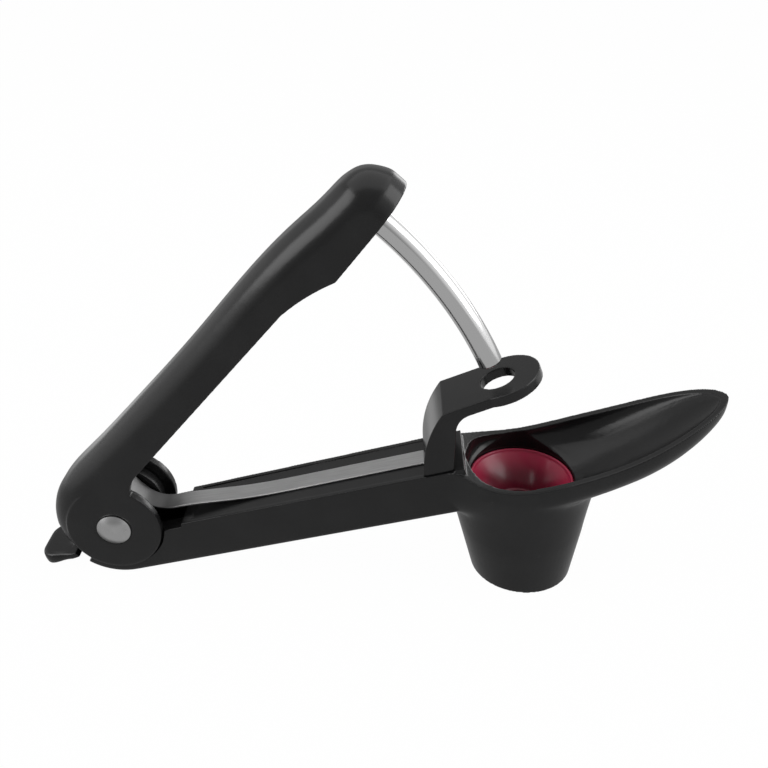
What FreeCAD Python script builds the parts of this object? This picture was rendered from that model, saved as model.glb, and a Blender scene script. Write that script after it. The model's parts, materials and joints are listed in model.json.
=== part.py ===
"""Olive pitter: two hinged levers, a bent plunger rod, a stripper ring and an olive cup over a chute.

The tool stands on the flat rim of its chute and on the round underside of its hinge.
X runs from the hinge to the spout, Y across the tool and Z up.  The pivot axis is along Y.
Lengths are millimetres, angles are degrees.
"""
import FreeCAD, Part
import os
from math import acos, asin, atan2, cos, degrees, hypot, radians, sin, sqrt, tan
from FreeCAD import Vector

# ---------------------------------------------------------------- driving dimensions
HINGE_RADIUS = 16.2          # outside of both levers around the pivot
PIVOT_HEIGHT = 16.2          # pivot axis above the chute's mouth, which is at height 0
HINGE_WIDTH = 19.66          # over the two cheeks of the handle

CHEEK_RADIUS = 12.75
CHEEK_THICKNESS = 2.4
SIDE_CLEARANCE = 0.33        # between a cheek and the hub beside it
ROUND_CLEARANCE = 0.35       # between a cheek's rim and the arm around it

ARM_TILT = 14.8              # slope of the lower arm
ARM_LENGTH = 96.0            # pivot to the cup end of the arm
ARM_DROP = 3.3               # pivot to the arm's top face
ARM_DEPTH = 13.6             # top face to underside
ARM_HALF_WIDTH = 8.35        # at the pivot
ARM_WIDENING = 0.013         # half width gained per millimetre
ARM_EDGE = 1.4               # rounding of the lower edges
ARM_PANEL_INSET = 1.3        # rim left around the sunk top panel
ARM_PANEL_DEPTH = 0.4
ARM_PANEL_START = 20.5
ARM_NOTCH_END = 17.6         # where the full-height arm begins
ARM_NOTCH_DEPTH = 1.1

LUG_RADIUS = 10.0
LUG_INNER = 3.8              # half of the slot between the two lugs
BOSS_RADIUS = 6.0
TAIL_ANGLE = 141.0           # end of the arm's tail, measured below the arm's axis
TAIL_SLOT_ANGLE = 122.0      # end of the tail inside the lock's slot
SPRING_SLOT_DEPTH = 6.0      # slot under the leaf spring, below the arm's top face

RIVET_RADIUS = 2.5
RIVET_HEAD_RADIUS = 4.55
RIVET_HEAD_HEIGHT = 1.15
RIVET_HEAD_EDGE = 0.35       # share of a head's height that is its upright edge
RIVET_RECESS = 0.4           # how deep the heads sit in the cheeks
RUNNING_FIT = 0.05
OVERCUT = 2.0                # how far a cut runs past what it cuts
SLEEVE_WALL = 0.8
WASHER_RADIUS = 4.2
WASHER_THICKNESS = 0.5

CUP_FROM_ARM = 17.285         # end of the arm's axis to the cup's centre, level
CUP_BELOW_ARM = 11.723       # end of the arm's axis down to the cup's rim
CUP_X = ARM_LENGTH * cos(radians(ARM_TILT)) + CUP_FROM_ARM
CUP_RIM_HEIGHT = PIVOT_HEIGHT + ARM_LENGTH * sin(radians(ARM_TILT)) - CUP_BELOW_ARM

ROD_ARC_RADIUS = CUP_X       # the rod swings into the middle of the cup
ROD_RADIUS = 3.1
ROD_TIP_ANGLE = 25.5         # direction of the rod's tip from the pivot
ROD_TIP_CHAMFER = 0.4
ROD_SOCKET_DEPTH = 8.5       # length held inside the head

HANDLE_ANGLE = 49.0          # slope of the handle when it is open
HANDLE_UNDERSIDE = 5.2       # pivot axis to the handle's underside
HANDLE_BACK_HINGE = 18.3     # pivot axis to the handle's back, at the hinge
HANDLE_BACK_QUARTER = 17.1   # a quarter along
HANDLE_BACK_MIDDLE = 16.4    # half way along
HANDLE_BACK_HEAD = 15.7      # at the start of the head
HEAD_CREST = 11.0            # from there to the crest of the head
HEAD_CREST_DROP = 1.2        # how far the back has come down at the crest
HEAD_SHOULDER = 7.5          # from the head's end back to its shoulder
HEAD_SHOULDER_DROP = 1.8
HEAD_BROW = 1.6              # from the head's end back to its brow
HEAD_BROW_DROP = 4.5
HEAD_LIP = 3.2               # height of the head's upright end
HANDLE_EDGE = 8.0            # rounding of the handle's upper edges
HANDLE_CEILING_EDGE = 4.6    # and of its hollow
HANDLE_WALL = 2.4
HEAD_SOLID_LENGTH = 32.1     # solid stretch before the rod, where the open channel ends
HEEL_RADIUS = 17.7           # outside of the heel
HEEL_ANGLE = 186.0           # where the heel ends, round from the front
HEEL_SHARES = (0.0, 0.3, 0.6, 0.85)     # places round the heel, from its end towards the back
HEEL_SWELL = 1.3             # how late the heel grows out to the back's height
BACK_SHARES = (0.0, 0.12, 0.3, 0.6)     # places along the back, from the hinge towards the head
HEAD_BEFORE_ROD = 15.2       # length of the head's face before the rod
HEAD_START = ROD_ARC_RADIUS - HEAD_BEFORE_ROD
NOTCH_LENGTH = 14.9          # curve in the underside before the head
NOTCH_BULGE = 0.55           # how far along the notch its middle point lies
NOTCH_DROP = 1.7             # and how far that point is below the underside
HEAD_FACE_START = 1.0        # pivot line to the head's lower face where it starts
HEAD_FACE_END = 1.75         # and at the centre of its round end
HEAD_BEYOND_ROD = 0.9        # from the rod to the centre of the head's round end
HEAD_ROUND_CENTRE = ROD_ARC_RADIUS + HEAD_BEYOND_ROD
CROOK_LENGTH = 5.0           # inner curve from the cheek to the underside
CROOK_SHARE = 0.6            # where that curve meets the cheek
CROOK_MIDDLE = (0.4, 0.86)   # its middle point, as shares of its length and of the underside's height
RIB_PLACES = (30.0, 46.0, 62.0)
RIB_THICKNESS = 1.6
RIB_DEPTH = 5.0

PLATE_ANGLE = 23.0           # direction of the stripper plate's top face
PLATE_THICKNESS = 2.8
PLATE_HALF_WIDTH = 8.84
PLATE_HOLE_RADIUS = 4.67
PLATE_END_RADIUS = 9.8
PLATE_END_OFFSET = 1.4       # centre of the round end beyond the hole's centre
LEG_BEFORE_CUP = 19.1        # front of the leg to the cup's centre
LEG_DEPTH = 7.5
LEG_TOP_BACK = 3.6           # how far the leg's back has leaned forward at the top
LEG_FRONT_X = CUP_X - LEG_BEFORE_CUP
LEG_BACK_X = LEG_FRONT_X - LEG_DEPTH
LEG_TOP_X = LEG_FRONT_X - LEG_TOP_BACK
LEG_BEND_INSIDE = 5.0
LEG_BACK_BOW = 0.16          # how far the leg's back has curved over at three fifths of its height

CUP_RIM_RADIUS = 14.0
CUP_LIP_HEIGHT = 1.8         # the flange that rests on the arm's ledge
CUP_LIP_WIDTH = 0.9
CUP_WALL = 1.6
CUP_DEPTH = 8.6              # rim to the edge of the bottom hole
CUP_CURVE = [(2.3, 6.0), (4.8, 4.0), (6.6, 2.0)]    # its wall, in from the mouth and up from the floor
CUP_LEDGE = 3.2              # thickness of the arm's ledge under the flange
CUP_HOLE_RADIUS = 5.6
CUP_SEAT_WIDTH = 1.6
CUP_FIT = 0.1

FUNNEL_X = CUP_X + 1.9       # centre of the chute's mouth
FUNNEL_RADIUS = 14.05
FUNNEL_TOP_X = CUP_X - 0.4
FUNNEL_TOP_LENGTH = 20.7     # half length where the chute ends inside the tray's walls
FUNNEL_TOP_WIDTH = 15.5
FUNNEL_TOP_HEIGHT = CUP_RIM_HEIGHT + 2.2
FUNNEL_WALL = 2.0

TRAY_WALL = 2.0
TRAY_END_WALL = 3.5          # wall between the stripper's leg and the cup
TRAY_OPEN = 0.02             # how far the hollow runs past the rim
TRAY_BEHIND_CUP = 22.1       # from the cup's centre to where the tray begins, inside the arm
TRAY_WIDEST_BEYOND_CUP = 6.9
TRAY_BEYOND_CUP = 50.5       # and to the spout's tip
TRAY_START_X = CUP_X - TRAY_BEHIND_CUP
TRAY_WIDEST_X = CUP_X + TRAY_WIDEST_BEYOND_CUP
TRAY_TIP_X = CUP_X + TRAY_BEYOND_CUP
TRAY_HALF_WIDTH = 15.9
TRAY_EAR_ROUNDING = 0.55     # how bluntly the plan view closes at the spout
TRAY_EAR_TAPER = 2.2         # how late its sides begin to close

SPRING_WIDTH = 6.2
SPRING_THICKNESS = 0.6
SPRING_END_X = LEG_FRONT_X - 1.0    # its clamped end, under the stripper's foot
SPRING_LIFT_X = 46.0         # where the leaf leaves the arm
# Route of the leaf's underside from there, along the arm and above the pivot.
SPRING_RISE = [(36.0, -3.35), (27.0, -2.5), (19.5, -1.75), (14.5, -1.5), (11.0, -0.6), (8.2, 1.6),
               (6.2, 4.9), (4.6, 8.4), (2.9, 11.6)]

SCREW_RADIUS = 1.5
SCREW_HEAD_RADIUS = 2.8
SCREW_HEAD_HEIGHT = 1.8
SCREW_DRIVE_REACH = 1.8      # cross slot, from the middle
SCREW_DRIVE_WIDTH = 0.6
SCREW_LENGTH = 15.0
SCREW_X = LEG_FRONT_X - LEG_DEPTH / 2
SCREW_SINK = 3.0             # arm's underside to the face under the screw's head

LOCK_PIN_RADIUS = 1.0
LOCK_PIN_DISTANCE = 9.6      # from the main pivot
LOCK_PIN_ANGLE = 213.0
LOCK_KNUCKLE_RADIUS = 2.4
LOCK_EAR_RADIUS = 2.7
LOCK_TAB_OVERHANG = 0.6      # how far the tab is wider than its pin
LOCK_TAB_LENGTH = 23.9       # pivot to the tab's end
LOCK_TAB_TOP = 10.5          # pivot down to the tab's top
LOCK_TAB_DROOP = 1.1
LOCK_TAB_END = 4.5           # thickness of the tab's end
LOCK_TAB_ROOT = 13.0         # pivot to the tab's root
LOCK_TAB_UNDERCUT = 1.2      # how far the end slopes back under
LOCK_TAB_CORNER = 4.5
LOCK_NECK_TOP = 143.0        # directions in which the neck leaves the knuckle
LOCK_NECK_LOW = -26.0
LOCK_NECK_OVERLAP = 0.25     # share of the tab's length that the neck reaches into

# ---------------------------------------------------------------- helpers
HALF_HINGE = HINGE_WIDTH / 2
CHEEK_INNER = HALF_HINGE - CHEEK_THICKNESS
HUB_HALF = CHEEK_INNER - SIDE_CLEARANCE
LOCK_HALF_WIDTH = HUB_HALF + LOCK_TAB_OVERHANG
RECESS_RADIUS = CHEEK_RADIUS + ROUND_CLEARANCE
PIVOT = Vector(0, 0, PIVOT_HEIGHT)
ACROSS = Vector(0, 1, 0)


def polar(radius, angle, y=0.0):
    """Point at a distance and direction from the pivot, seen with X to the right and Z up."""
    return Vector(radius * cos(radians(angle)), y, PIVOT_HEIGHT + radius * sin(radians(angle)))


def on_arm(along, above, y=0.0):
    """Point in the arm's own directions: along it and square to it, from the pivot."""
    c, s = cos(radians(ARM_TILT)), sin(radians(ARM_TILT))
    return Vector(along * c - above * s, y, PIVOT_HEIGHT + along * s + above * c)


def on_handle(along, above, y=0.0):
    """Point in the handle's own directions, from the pivot, with the handle open."""
    c, s = cos(radians(HANDLE_ANGLE)), sin(radians(HANDLE_ANGLE))
    return Vector(along * c - above * s, y, PIVOT_HEIGHT + along * s + above * c)


def line(a, b):
    return Part.LineSegment(a, b).toShape()


def arc(a, b, c):
    return Part.Arc(a, b, c).toShape()


def curve(points):
    spline = Part.BSplineCurve()
    spline.interpolate(points)
    return spline.toShape()


def across(edges, low, high):
    """Solid between two depths from a closed outline in the XZ plane."""
    face = Part.Face(Part.Wire(Part.__sortEdges__(edges)))
    face.translate(Vector(0, low, 0))
    return face.extrude(Vector(0, high - low, 0))


def polygon(points):
    return [line(a, b) for a, b in zip(points, points[1:] + points[:1])]


def drum(radius, low, high, centre=PIVOT):
    """Cylinder across the tool."""
    return Part.makeCylinder(radius, high - low, Vector(centre.x, low, centre.z), ACROSS)


def sector(inner, outer, start, end, low, high):
    """Part of a ring about the pivot, between two directions."""
    middle = (start + end) / 2
    return across([arc(polar(outer, start), polar(outer, middle), polar(outer, end)),
                   line(polar(outer, end), polar(inner, end)),
                   arc(polar(inner, end), polar(inner, middle), polar(inner, start)),
                   line(polar(inner, start), polar(outer, start))], low, high)


def rounded(solid, radius, chosen):
    """Fillet the edges that a test picks out."""
    edges = [edge for edge in solid.Edges if chosen(edge)]
    return solid.makeFillet(radius, edges)


def clean(shape):
    """One solid without leftover seams between its faces."""
    shape = shape.removeSplitter()
    solids = shape.Solids
    return solids[0] if len(solids) == 1 else shape


# ---------------------------------------------------------------- lower arm
def arm_half_width(along):
    return ARM_HALF_WIDTH + ARM_WIDENING * along


def arm_beam():
    """Tapering beam from the round tail at the hinge to the cup, with rounded lower edges."""
    top, bottom = -ARM_DROP, -(ARM_DROP + ARM_DEPTH)
    tail = polar(HINGE_RADIUS, ARM_TILT - TAIL_ANGLE)
    tail_middle = polar(HINGE_RADIUS, ARM_TILT - (TAIL_ANGLE + 90) / 2)
    outline = [arc(tail, tail_middle, on_arm(0, -HINGE_RADIUS)),
               line(on_arm(0, -HINGE_RADIUS), on_arm(ARM_LENGTH, bottom)),
               line(on_arm(ARM_LENGTH, bottom), on_arm(ARM_LENGTH, top)),
               line(on_arm(ARM_LENGTH, top), on_arm(0, top)), line(on_arm(0, top), PIVOT), line(PIVOT, tail)]
    beam = across(outline, -2 * ARM_HALF_WIDTH, 2 * ARM_HALF_WIDTH)
    start, end, behind = arm_half_width(0), arm_half_width(ARM_LENGTH), -2 * HINGE_RADIUS
    side = [Vector(behind, -start, 0), Vector(0, -start, 0), Vector(ARM_LENGTH, -end, 0)]
    corners = side + [Vector(at.x, -at.y, 0) for at in reversed(side)]
    plan = Part.Face(Part.makePolygon(corners + corners[:1])).extrude(Vector(0, 0, 4 * HINGE_RADIUS))
    plan.translate(Vector(0, 0, behind))
    beam = clean(beam.common(on_arm_plan(plan)))
    return rounded(beam, ARM_EDGE, is_lower_edge)


def on_arm_plan(shape):
    """Turn a shape drawn flat, X along the arm, to lie along the arm."""
    shape.rotate(Vector(0, 0, 0), ACROSS, -ARM_TILT)
    shape.translate(PIVOT)
    return shape


def is_lower_edge(edge):
    """Long outer edges of the arm's underside and round tail."""
    middle = edge.valueAt((edge.FirstParameter + edge.LastParameter) / 2)
    at_side = abs(middle.y) > ARM_HALF_WIDTH - 0.1
    low = on_arm_height(middle) < -0.75 * HINGE_RADIUS
    lengthwise = abs(edge.tangentAt((edge.FirstParameter + edge.LastParameter) / 2).y) < 0.1
    return at_side and low and lengthwise and edge.Length > HINGE_RADIUS / 2


def on_arm_height(point):
    """Distance of a point above the arm's own axis."""
    return (point.z - PIVOT_HEIGHT) * cos(radians(ARM_TILT)) - point.x * sin(radians(ARM_TILT))


def arm_hinge():
    """Two round lugs of the arm, and the ears that hold the lock's pin."""
    lug = drum(LUG_RADIUS, -HUB_HALF, HUB_HALF)
    ear = drum(LOCK_EAR_RADIUS, -HUB_HALF, HUB_HALF, polar(LOCK_PIN_DISTANCE, LOCK_PIN_ANGLE))
    return lug.fuse(ear)


def arm_slots():
    """Everything that is cut away at the hinge end of the arm."""
    wide = 2 * HALF_HINGE
    cuts = [drum(RECESS_RADIUS, HUB_HALF, wide), drum(RECESS_RADIUS, -wide, -HUB_HALF)]
    notch_floor = -ARM_DROP - ARM_NOTCH_DEPTH
    notch = across(polygon([on_arm(LUG_RADIUS - OVERCUT, notch_floor), on_arm(ARM_NOTCH_END, notch_floor),
                            on_arm(ARM_NOTCH_END, ARM_DROP), on_arm(LUG_RADIUS - OVERCUT, ARM_DROP)]),
                   -wide, wide)
    cuts.append(notch.cut(drum(LUG_RADIUS, -HUB_HALF, HUB_HALF)))
    slot_floor = -ARM_DROP - SPRING_SLOT_DEPTH
    slot_top = LUG_RADIUS + OVERCUT / 2
    slot = across(polygon([on_arm(0, slot_top), on_arm(0, 0), on_arm(BOSS_RADIUS, slot_floor),
                           on_arm(ARM_NOTCH_END, slot_floor), on_arm(ARM_NOTCH_END, slot_top)]),
                  -LUG_INNER, LUG_INNER)
    lock_slot = sector(BOSS_RADIUS, HINGE_RADIUS + OVERCUT, 90 + ARM_TILT, 360 + ARM_TILT - TAIL_SLOT_ANGLE,
                       -LUG_INNER, LUG_INNER)
    boss = drum(BOSS_RADIUS, -LUG_INNER, LUG_INNER)
    cuts.append(slot.cut(boss))
    cuts.append(lock_slot)
    sleeve = RIVET_RADIUS + RUNNING_FIT + SLEEVE_WALL
    cuts.append(drum(sleeve, -wide, wide))
    cuts.append(drum(LOCK_PIN_RADIUS, -wide, wide, polar(LOCK_PIN_DISTANCE, LOCK_PIN_ANGLE)))
    return cuts


def arm_panel():
    """Sunk panel in the arm's top face, in which the leaf spring lies."""
    start, end = ARM_PANEL_START, LEG_FRONT_X
    floor = -ARM_DROP - ARM_PANEL_DEPTH
    near, far = arm_half_width(start) - ARM_PANEL_INSET, arm_half_width(end) - ARM_PANEL_INSET
    side = [Vector(start, -near, floor), Vector(end, -far, floor)]
    corners = side + [Vector(at.x, -at.y, floor) for at in reversed(side)]
    panel = Part.Face(Part.makePolygon(corners + corners[:1])).extrude(Vector(0, 0, 4 * ARM_PANEL_DEPTH))
    return on_arm_plan(panel)


# The tray, from the cup's centre: its rim, underside and floor in the side view, above the cup's rim,
# and its half width where it grows out of the arm.
TRAY_RIM = [(-22.1, 7.5), (-19.1, 7.3), (-15.1, 6.3), (-10.1, 5.3), (-3.1, 5.2), (4.9, 6.7),
            (14.9, 9.9), (24.9, 13.7), (34.9, 18.4), (42.9, 22.6), (51.4, 26.6)]
TRAY_KEEL = [(-22.1, -7.0), (-16.1, -7.5), (-8.1, -7.7), (1.9, -5.8), (9.9, -2.5), (17.9, 0.9), (24.9, 3.6),
             (34.9, 8.3), (42.9, 14.1), (47.9, 19.0), (51.4, 23.2)]
TRAY_FLOOR = [(-22.1, -0.2), (-10.1, -0.3), (1.9, -0.3), (11.9, 0.0), (17.9, 1.9), (24.9, 5.9),
              (34.9, 13.0), (42.9, 20.0), (47.9, 24.4), (51.4, 26.4)]
TRAY_GROWTH = [(-22.1, 9.45), (-19.1, 9.95), (-15.6, 11.4), (-11.6, 13.6), (-7.1, 15.0), (-1.1, 15.75),
               (6.9, 15.9)]


def tray_half_width(x, wall):
    """Half width inside a wall: grown out of the arm, widest beside the cup, with a round-ended spout."""
    if x < TRAY_WIDEST_X:
        scale = TRAY_HALF_WIDTH / TRAY_GROWTH[-1][1]
        return crossing([(CUP_X + at, half * scale) for at, half in TRAY_GROWTH], x) - wall
    share = min((x - TRAY_WIDEST_X) / (TRAY_TIP_X - wall - TRAY_WIDEST_X), 1.0)
    return (TRAY_HALF_WIDTH - wall) * (1 - share ** TRAY_EAR_TAPER) ** TRAY_EAR_ROUNDING


def crossing(points, x):
    """Height at x of the smooth line through points of a flat view."""
    spline = Part.BSplineCurve()
    spline.interpolate([Vector(at, 0, height) for at, height in points])
    upright = Part.LineSegment(Vector(x, 0, -ARM_LENGTH), Vector(x, 0, ARM_LENGTH))
    return spline.intersectCC(upright)[0].Z


def tray_height(points, x):
    return CUP_RIM_HEIGHT + crossing([(CUP_X + at, height) for at, height in points], x)


TRAY_LEAST_HALF_WIDTH = 0.6  # at the very tip
TRAY_SECTIONS = 13           # cross-sections that the tray is lofted through
TRAY_SECTION_STEPS = 16      # points along a cross-section
TRAY_SQUARENESS_ARM = 6.0    # how boxy a cross-section is where the tray starts
TRAY_SQUARENESS_SPOUT = 2.5  # and at the spout
TRAY_SQUARENESS_PACE = 0.3   # how early it turns from one to the other
TRAY_HOLLOW_SQUARENESS = 0.72    # the hollow's against the outside's
ROUND_SECTION = 2.0          # squareness of an ellipse


def tray_section(x, half_width, top, bottom, boxy):
    """Closed U-shaped cross-section, boxy by the arm and rounder towards the spout."""
    share = min(max((x - TRAY_START_X) / (TRAY_TIP_X - TRAY_START_X), 0.0), 1.0)
    rounded_share = share ** TRAY_SQUARENESS_PACE
    squareness = TRAY_SQUARENESS_ARM + (TRAY_SQUARENESS_SPOUT - TRAY_SQUARENESS_ARM) * rounded_share
    squareness = max(squareness * boxy, ROUND_SECTION)
    points = []
    shares = [step / TRAY_SECTION_STEPS for step in range(TRAY_SECTION_STEPS + 1)]
    for share in shares:
        angle = radians(180 * share)
        side = 1 if cos(angle) >= 0 else -1
        y = side * half_width * abs(cos(angle)) ** (2 / squareness)
        z = top - (top - bottom) * abs(sin(angle)) ** (2 / squareness)
        points.append(Vector(x, y, z))
    bowl = Part.BSplineCurve()
    bowl.interpolate(Points=points, Parameters=shares)
    return Part.Wire([bowl.toShape(), line(points[-1], points[0])])


def tray_loft(start, end, wall, bottom_points, above):
    """Smooth body of the tray, or its hollow: drawn in by a wall, opened above and round behind the cup."""
    boxy = TRAY_HOLLOW_SQUARENESS if wall else 1.0
    sections = []
    for step in range(TRAY_SECTIONS):
        x = start + (end - start) * (0.5 - 0.5 * cos(radians(180 * step / (TRAY_SECTIONS - 1))))
        half = tray_half_width(x, wall)
        if wall and x < CUP_X:
            half = min(half, sqrt(max((CUP_X - start) ** 2 - (CUP_X - x) ** 2, 0.0)))
        half = max(half, TRAY_LEAST_HALF_WIDTH)
        top = tray_height(TRAY_RIM, x) + above
        low = min(tray_height(bottom_points, x), top - TRAY_LEAST_HALF_WIDTH)
        sections.append(tray_section(x, half, top, low, boxy))
    return Part.makeLoft(sections, True, False)


def chute_loft(inset, low, high):
    """Flared chute between its round mouth and the tray, drawn in by an inset."""
    share_low, share_high = low / FUNNEL_TOP_HEIGHT, high / FUNNEL_TOP_HEIGHT
    wires = []
    for share in (share_low, share_high):
        centre = FUNNEL_X + (FUNNEL_TOP_X - FUNNEL_X) * share
        length = FUNNEL_RADIUS + (FUNNEL_TOP_LENGTH - FUNNEL_RADIUS) * share - inset
        width = FUNNEL_RADIUS + (FUNNEL_TOP_WIDTH - FUNNEL_RADIUS) * share - inset
        z = share * FUNNEL_TOP_HEIGHT
        ring = Part.Ellipse(Vector(centre, 0, z), max(length, width + 0.001), width)
        wires.append(Part.Wire(ring.toShape()))
    return Part.makeLoft(wires, True, False)


def cup_skirt_radius():
    return CUP_RIM_RADIUS - CUP_SEAT_WIDTH


def lower_arm():
    """Arm, olive tray and chute in one moulding."""
    body = arm_beam().fuse(arm_hinge())
    body = body.cut(arm_slots() + [arm_panel()])
    tray = tray_loft(TRAY_START_X, TRAY_TIP_X, 0.0, TRAY_KEEL, 0.0)
    chute = chute_loft(0.0, 0.0, FUNNEL_TOP_HEIGHT)
    body = body.fuse([tray, chute])
    hollow = tray_loft(LEG_FRONT_X + TRAY_END_WALL, TRAY_TIP_X - TRAY_WALL, TRAY_WALL, TRAY_FLOOR, TRAY_OPEN)
    body = body.cut(hollow)
    ledge = CUP_RIM_HEIGHT - CUP_LIP_HEIGHT
    rim = Part.makeCylinder(CUP_RIM_RADIUS + CUP_FIT, HINGE_RADIUS, Vector(CUP_X, 0, ledge))
    seat = Part.makeCylinder(cup_skirt_radius() + CUP_FIT, HINGE_RADIUS, Vector(CUP_X, 0, ledge - CUP_DEPTH))
    drop = chute_loft(FUNNEL_WALL, 0.0, ledge - CUP_LEDGE)
    body = body.cut([rim, seat, drop])
    body = body.cut([leg_recess(), screw_hole()])
    return clean(body)


def leg_foot(x):
    """Point of the stripper leg's foot, on the floor of the arm's sunk panel."""
    slope = tan(radians(ARM_TILT))
    drop = (ARM_DROP + ARM_PANEL_DEPTH) / cos(radians(ARM_TILT))
    return Vector(x, 0, PIVOT_HEIGHT + x * slope - drop)


def leg_recess():
    """Flat seat for the stripper's leg, open to both sides of the arm."""
    back, front = leg_foot(LEG_BACK_X), leg_foot(LEG_FRONT_X)
    rise = Vector(0, 0, 2 * ARM_DROP)
    return across(polygon([back, front, front + rise, back + rise]), -HINGE_WIDTH, HINGE_WIDTH)


def screw_seat():
    """Height of the face that the screw's head pulls against."""
    under = -(ARM_DROP + ARM_DEPTH) / cos(radians(ARM_TILT)) + SCREW_X * tan(radians(ARM_TILT))
    return PIVOT_HEIGHT + under + SCREW_SINK


def screw_hole():
    """Clearance hole and counterbore for the screw, from under the arm."""
    seat = screw_seat()
    below = Vector(SCREW_X, 0, seat - HINGE_RADIUS)
    bore = Part.makeCylinder(SCREW_HEAD_RADIUS + CUP_FIT, HINGE_RADIUS, below)
    return bore.fuse(Part.makeCylinder(SCREW_RADIUS + CUP_FIT, SCREW_LENGTH, Vector(SCREW_X, 0, seat)))


# ---------------------------------------------------------------- cup insert
def cup_insert():
    """Soft cup that holds the olive, with a flange, a skirt and a hole in the bottom."""
    top = CUP_RIM_HEIGHT
    flange = top - CUP_LIP_HEIGHT
    floor = top - CUP_DEPTH
    lip = CUP_LIP_WIDTH / 2
    mouth = CUP_RIM_RADIUS - CUP_LIP_WIDTH
    skirt = cup_skirt_radius()

    def at(radius, z):
        return Vector(CUP_X + radius, 0, z)

    wall = [at(mouth - inward, floor + above) for inward, above in CUP_CURVE]
    inside = curve([at(mouth, top - lip)] + wall + [at(CUP_HOLE_RADIUS, floor)])
    outline = [arc(at(CUP_RIM_RADIUS, top - lip), at(CUP_RIM_RADIUS - lip, top), at(mouth, top - lip)),
               inside,
               line(at(CUP_HOLE_RADIUS, floor), at(CUP_HOLE_RADIUS, floor - CUP_WALL)),
               line(at(CUP_HOLE_RADIUS, floor - CUP_WALL), at(skirt - 3.4, floor - CUP_WALL)),
               line(at(skirt - 3.4, floor - CUP_WALL), at(skirt, floor + 3.0)),
               line(at(skirt, floor + 3.0), at(skirt, flange)),
               line(at(skirt, flange), at(CUP_RIM_RADIUS, flange)),
               line(at(CUP_RIM_RADIUS, flange), at(CUP_RIM_RADIUS, top - lip))]
    face = Part.Face(Part.Wire(Part.__sortEdges__(outline)))
    return face.revolve(Vector(CUP_X, 0, 0), Vector(0, 0, 1), 360)


# ---------------------------------------------------------------- stripper arm and its screw
def plate_point(along, below, y=0.0):
    """Point under the stripper plate's top face, measured along the plate from the pivot."""
    c, s = cos(radians(PLATE_ANGLE)), sin(radians(PLATE_ANGLE))
    return Vector(along * c + below * s, y, PIVOT_HEIGHT + along * s - below * c)


def plate_normal():
    return Vector(-sin(radians(PLATE_ANGLE)), 0, cos(radians(PLATE_ANGLE)))


def stripper_arm():
    """Leg that stands on the arm and bends over into a plate with the rod's hole."""
    centre = ROD_ARC_RADIUS + PLATE_END_OFFSET
    corner = plate_point(LEG_TOP_X / cos(radians(PLATE_ANGLE)), 0)
    back, front = leg_foot(LEG_BACK_X), leg_foot(LEG_FRONT_X)
    slope = radians(PLATE_ANGLE)
    inner = (LEG_FRONT_X - PLATE_THICKNESS * sin(slope)) / cos(slope)
    reach = LEG_BEND_INSIDE / tan(radians((90 + PLATE_ANGLE) / 2))
    bend_plate = plate_point(inner + reach, PLATE_THICKNESS)
    bend_corner = plate_point(inner, PLATE_THICKNESS)
    bend_leg = bend_corner - Vector(0, 0, reach)
    middle = Vector((bend_plate.x + bend_leg.x) / 2, 0, (bend_plate.z + bend_leg.z) / 2)
    towards = (bend_corner - middle).normalize()
    depth = LEG_BEND_INSIDE * (1 - cos(radians((90 - PLATE_ANGLE) / 2)))
    bulge = Vector(LEG_BACK_X + LEG_BACK_BOW * (LEG_TOP_X - LEG_BACK_X), 0, (2 * back.z + 3 * corner.z) / 5)
    outline = [arc(back, bulge, corner), line(corner, plate_point(centre, 0)),
               line(plate_point(centre, 0), plate_point(centre, PLATE_THICKNESS)),
               line(plate_point(centre, PLATE_THICKNESS), bend_plate),
               arc(bend_plate, middle + towards * depth, bend_leg),
               line(bend_leg, front), line(front, back)]
    body = across(outline, -PLATE_HALF_WIDTH, PLATE_HALF_WIDTH)
    end_under = plate_point(centre, PLATE_THICKNESS)
    end = Part.makeCylinder(PLATE_END_RADIUS, PLATE_THICKNESS, end_under, plate_normal())
    under = plate_point(ROD_ARC_RADIUS, 2 * PLATE_THICKNESS)
    hole = Part.makeCylinder(PLATE_HOLE_RADIUS, 3 * PLATE_THICKNESS, under, plate_normal())
    body = clean(body.fuse(end)).cut(hole)
    groove = across(polygon([leg_foot(LEG_BACK_X - 1), leg_foot(SPRING_END_X + CUP_FIT),
                             leg_foot(SPRING_END_X + CUP_FIT) + Vector(0, 0, SPRING_THICKNESS + CUP_FIT),
                             leg_foot(LEG_BACK_X - 1) + Vector(0, 0, SPRING_THICKNESS + CUP_FIT)]),
                    -SPRING_WIDTH / 2 - CUP_FIT, SPRING_WIDTH / 2 + CUP_FIT)
    pilot = Part.makeCylinder(SCREW_RADIUS, SCREW_LENGTH, Vector(SCREW_X, 0, screw_seat()))
    return clean(body.cut([groove, pilot]))


def stripper_screw():
    """Screw through the arm and the leaf spring into the stripper's leg."""
    seat = screw_seat()
    under = Vector(SCREW_X, 0, seat - SCREW_HEAD_HEIGHT)
    head = Part.makeCylinder(SCREW_HEAD_RADIUS, SCREW_HEAD_HEIGHT, under)
    drive = Part.makeBox(2 * SCREW_DRIVE_REACH, SCREW_DRIVE_WIDTH, SCREW_HEAD_HEIGHT)
    low = seat - SCREW_HEAD_HEIGHT * 1.5
    drive.translate(Vector(SCREW_X - SCREW_DRIVE_REACH, -SCREW_DRIVE_WIDTH / 2, low))
    other = drive.copy()
    other.rotate(Vector(SCREW_X, 0, 0), Vector(0, 0, 1), 90)
    shank = Part.makeCylinder(SCREW_RADIUS, SCREW_LENGTH, Vector(SCREW_X, 0, seat))
    return clean(head.cut([drive, other]).fuse(shank))


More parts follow.
